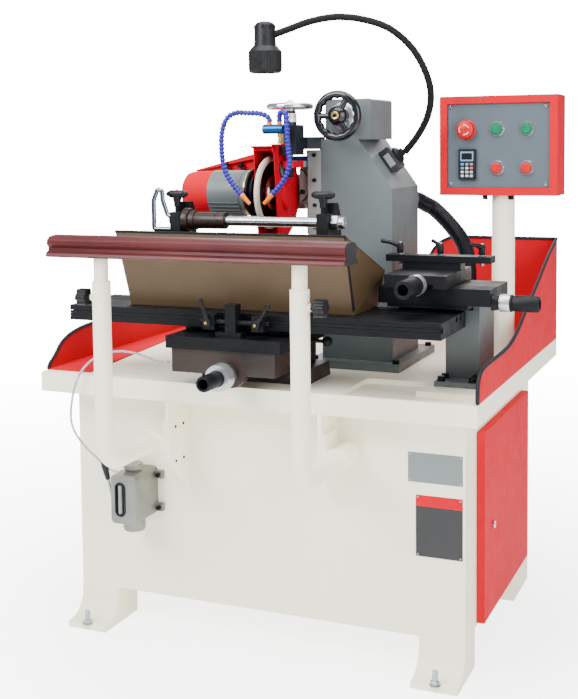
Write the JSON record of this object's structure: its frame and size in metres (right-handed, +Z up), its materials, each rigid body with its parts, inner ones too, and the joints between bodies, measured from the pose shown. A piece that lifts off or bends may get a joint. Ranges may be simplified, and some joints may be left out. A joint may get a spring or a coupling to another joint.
{
  "type": "profile knife grinder",
  "caption": "Floor-standing grinder for moulder knives: wheel head on a column, cross slides with tray and arbor, template stand, hand rest and control box.",
  "frame": {"origin": "on the floor, under the middle of the machine's footprint", "axes": "+Z up, +X to the operator's right, +Y away from the operator; the hand rest is at -Y"},
  "size_m": [1.2504, 1.222, 1.5929],
  "materials": {
    "cream_paint": "smooth cream powder coat",
    "red_paint": "glossy red powder coat",
    "grey_paint": "satin grey machine enamel",
    "putty_paint": "light grey enamel on a slide",
    "navy_paint": "dark blue enamel on a casting",
    "motor_paint": "blue grey enamel, red cap",
    "blue_grey_paint": "blue grey enamel",
    "tan_paint": "tan enamel on sheet",
    "brown_iron": "brown oiled casting",
    "black_steel": "blackened steel, satin",
    "turned_steel": "turned bright steel",
    "chrome_plate": "polished chrome plate",
    "blue_anodised": "blue anodised",
    "cast_aluminium": "cast and tumbled",
    "grey_panel": "printed grey aluminium sheet",
    "stained_wood": "red brown stain, satin lacquer",
    "black_plastic": "moulded black plastic",
    "red_plastic": "moulded red plastic",
    "green_plastic": "moulded green plastic",
    "violet_plastic": "moulded blue violet plastic",
    "clear_tube": "translucent nylon tube",
    "black_rubber": "corrugated black sheath",
    "bonded_abrasive": "pale vitrified abrasive, gritty"
  },
  "bodies": {
    "machine_base": {"table_slab": "cream_paint", "cabinet": "cream_paint", "splash_guard": "red_paint", "rest_tube_left": "cream_paint", "rest_tube_right": "cream_paint", "control_post": "cream_paint", "control_box": "red_paint", "control_plate": "grey_panel", "head_column": "grey_paint", "cross_slide_base": "brown_iron", "template_pedestal": "blue_grey_paint", "oil_pump_body": "cast_aluminium", "oil_tube": "clear_tube", "work_lamp": "black_plastic", "cable_conduit": "black_rubber"},
    "door": {"cabinet_door": "red_paint"},
    "lock": {"door_lock": "chrome_plate"},
    "hand_rest": {"hand_rest_rail": "stained_wood", "rest_post_left": "cream_paint", "rest_post_right": "cream_paint"},
    "left_rest_clamp": {"rest_clamp_knob_left": "black_plastic"},
    "right_rest_clamp": {"rest_clamp_knob_right": "black_plastic"},
    "emergency_stop": {"emergency_stop_button": "red_plastic"},
    "wheel_start": {"wheel_start_button": "green_plastic"},
    "coolant_start": {"coolant_start_button": "green_plastic"},
    "wheel_stop": {"wheel_stop_button": "red_plastic"},
    "coolant_stop": {"coolant_stop_button": "red_plastic"},
    "column_handwheel": {"front_handwheel": "black_steel"},
    "column_carriage": {"coarse_slide": "putty_paint", "fine_feed_housing": "navy_paint"},
    "fine_handwheel": {"top_handwheel": "chrome_plate"},
    "grinding_head": {"head_slide": "grey_paint", "head_cover": "red_paint", "grinding_motor": "motor_paint", "wheel_guard": "red_paint", "coolant_block": "blue_anodised", "coolant_hose_left": "violet_plastic", "coolant_hose_right": "violet_plastic"},
    "wheel": {"grinding_wheel": "bonded_abrasive", "wheel_spindle": "turned_steel"},
    "saddle": {"cross_slide": "black_steel"},
    "infeed": {"infeed_knob": "turned_steel"},
    "left_stop": {"stop_lever_left": "black_plastic"},
    "right_stop": {"stop_lever_right": "black_plastic"},
    "table": {"long_table": "black_steel", "drip_tray": "tan_paint", "arbor_bracket_left": "black_steel", "arbor_bracket_right": "black_steel"},
    "arbor": {"work_arbor": "turned_steel"},
    "left_arbor_clamp": {"arbor_clamp_left": "black_steel"},
    "right_arbor_clamp": {"arbor_clamp_right": "black_steel"},
    "template_x": {"template_lower_slide": "black_steel"},
    "template_x_knob": {"lower_slide_knob": "black_steel"},
    "template_y": {"template_upper_slide": "black_steel", "template_plate": "black_steel"},
    "template_y_knob": {"upper_slide_knob": "black_steel"},
    "plate_clamp_1": {"plate_clamp_lever_1": "black_steel"},
    "plate_clamp_2": {"plate_clamp_lever_2": "black_steel"},
    "plate_clamp_3": {"plate_clamp_lever_3": "black_steel"},
    "oil_lever": {"oil_pump_lever": "black_steel"}
  },
  "joints": [
    {"name": "door_swing", "type": "hinge", "parent": "machine_base", "child": "door", "pos_m": [0.49415, 0.357, 0.3375], "axis": [0, 0, 1], "range_deg": [0, 110]},
    {"name": "lock_turn", "type": "hinge", "parent": "door", "child": "lock", "pos_m": [0.49415, -0.069, 0.325], "axis": [1, 0, 0], "range_deg": [0, 90]},
    {"name": "rest_height", "type": "slide", "parent": "machine_base", "child": "hand_rest", "axis": [0, 0, 1], "range_m": [-0.05, 0.15]},
    {"name": "left_rest_clamp_turn", "type": "hinge", "parent": "machine_base", "child": "left_rest_clamp", "pos_m": [-0.32315, -0.571, 0.915], "axis": [1, 0, 0], "range_deg": [0, 270]},
    {"name": "right_rest_clamp_turn", "type": "hinge", "parent": "machine_base", "child": "right_rest_clamp", "pos_m": [0.22285, -0.571, 0.915], "axis": [1, 0, 0], "range_deg": [-270, 0]},
    {"name": "emergency_stop_press", "type": "slide", "parent": "machine_base", "child": "emergency_stop", "axis": [0, 1, 0], "range_m": [0, 0.006]},
    {"name": "wheel_start_press", "type": "slide", "parent": "machine_base", "child": "wheel_start", "axis": [0, 1, 0], "range_m": [0, 0.003], "stiffness_N_per_m": 900, "springref_m": -0.002},
    {"name": "coolant_start_press", "type": "slide", "parent": "machine_base", "child": "coolant_start", "axis": [0, 1, 0], "range_m": [0, 0.003], "stiffness_N_per_m": 900, "springref_m": -0.002},
    {"name": "wheel_stop_press", "type": "slide", "parent": "machine_base", "child": "wheel_stop", "axis": [0, 1, 0], "range_m": [0, 0.003], "stiffness_N_per_m": 900, "springref_m": -0.002},
    {"name": "coolant_stop_press", "type": "slide", "parent": "machine_base", "child": "coolant_stop", "axis": [0, 1, 0], "range_m": [0, 0.003], "stiffness_N_per_m": 900, "springref_m": -0.002},
    {"name": "coarse_feed", "type": "slide", "parent": "machine_base", "child": "column_carriage", "axis": [0, 0, 1], "range_m": [-0.05, 0.03]},
    {"name": "column_handwheel_turn", "type": "hinge", "parent": "machine_base", "child": "column_handwheel", "pos_m": [0.10085, -0.087, 1.331], "axis": [0, 1, 0], "range_deg": [-3600, 2160]},
    {"name": "fine_feed", "type": "slide", "parent": "column_carriage", "child": "grinding_head", "axis": [0, 0, 1], "range_m": [-0.02, 0.015]},
    {"name": "fine_handwheel_turn", "type": "hinge", "parent": "column_carriage", "child": "fine_handwheel", "pos_m": [-0.02815, -0.087, 1.357], "axis": [0, 0, 1], "range_deg": [-3600, 2700]},
    {"name": "wheel_spin", "type": "hinge", "parent": "grinding_head", "child": "wheel", "pos_m": [-0.08015, -0.099, 1.136], "axis": [1, 0, 0], "continuous": true},
    {"name": "cross_feed", "type": "slide", "parent": "machine_base", "child": "saddle", "axis": [0, 1, 0], "range_m": [-0.06, 0.008]},
    {"name": "infeed_turn", "type": "hinge", "parent": "machine_base", "child": "infeed", "pos_m": [-0.06015, -0.449, 0.722], "axis": [0, 1, 0], "range_deg": [-7200, 960]},
    {"name": "left_stop_tilt", "type": "hinge", "parent": "saddle", "child": "left_stop", "pos_m": [-0.11915, -0.3893, 0.84], "axis": [0, 1, 0], "range_deg": [-30, 30]},
    {"name": "right_stop_tilt", "type": "hinge", "parent": "saddle", "child": "right_stop", "pos_m": [0.00885, -0.3893, 0.84], "axis": [0, 1, 0], "range_deg": [-30, 30]},
    {"name": "table_travel", "type": "slide", "parent": "saddle", "child": "table", "axis": [1, 0, 0], "range_m": [-0.2, 0.005]},
    {"name": "arbor_turn", "type": "hinge", "parent": "table", "child": "arbor", "pos_m": [-0.05015, -0.273, 1.075], "axis": [1, 0, 0], "continuous": true},
    {"name": "left_arbor_clamp_turn", "type": "hinge", "parent": "table", "child": "left_arbor_clamp", "pos_m": [-0.25815, -0.273, 1.13], "axis": [0, 0, 1], "range_deg": [0, 180]},
    {"name": "right_arbor_clamp_turn", "type": "hinge", "parent": "table", "child": "right_arbor_clamp", "pos_m": [0.13385, -0.273, 1.13], "axis": [0, 0, 1], "range_deg": [0, 180]},
    {"name": "template_x_slide", "type": "slide", "parent": "machine_base", "child": "template_x", "axis": [1, 0, 0], "range_m": [-0.008, 0.022]},
    {"name": "template_x_knob_turn", "type": "hinge", "parent": "template_x", "child": "template_x_knob", "pos_m": [0.51515, -0.162, 0.886], "axis": [1, 0, 0], "range_deg": [-2880, 7920]},
    {"name": "template_y_slide", "type": "slide", "parent": "template_x", "child": "template_y", "axis": [0, 1, 0], "range_m": [-0.012, 0.012]},
    {"name": "template_y_knob_turn", "type": "hinge", "parent": "template_y", "child": "template_y_knob", "pos_m": [0.34785, -0.219, 0.928], "axis": [0, 1, 0], "range_deg": [-4320, 4320]},
    {"name": "plate_clamp_1_turn", "type": "hinge", "parent": "template_y", "child": "plate_clamp_1", "pos_m": [0.25585, -0.059, 0.99], "axis": [0, 0, 1], "range_deg": [-15, 90]},
    {"name": "plate_clamp_2_turn", "type": "hinge", "parent": "template_y", "child": "plate_clamp_2", "pos_m": [0.35985, -0.059, 0.99], "axis": [0, 0, 1], "range_deg": [-60, 60]},
    {"name": "plate_clamp_3_turn", "type": "hinge", "parent": "template_y", "child": "plate_clamp_3", "pos_m": [0.46385, -0.059, 0.99], "axis": [0, 0, 1], "range_deg": [-60, 60]},
    {"name": "oil_lever_pull", "type": "hinge", "parent": "machine_base", "child": "oil_lever", "pos_m": [-0.42215, -0.329, 0.33], "axis": [1, 0, 0], "range_deg": [0, 60]}
  ],
  "couplings": [
    {"joint": "column_handwheel_turn", "follows": "coarse_feed", "rad_per_m": 1256.6},
    {"joint": "fine_handwheel_turn", "follows": "fine_feed", "rad_per_m": 3141.6},
    {"joint": "infeed_turn", "follows": "cross_feed", "rad_per_m": 2094.4},
    {"joint": "template_x_knob_turn", "follows": "template_x_slide", "rad_per_m": 6283.2},
    {"joint": "template_y_knob_turn", "follows": "template_y_slide", "rad_per_m": 6283.2}
  ]
}
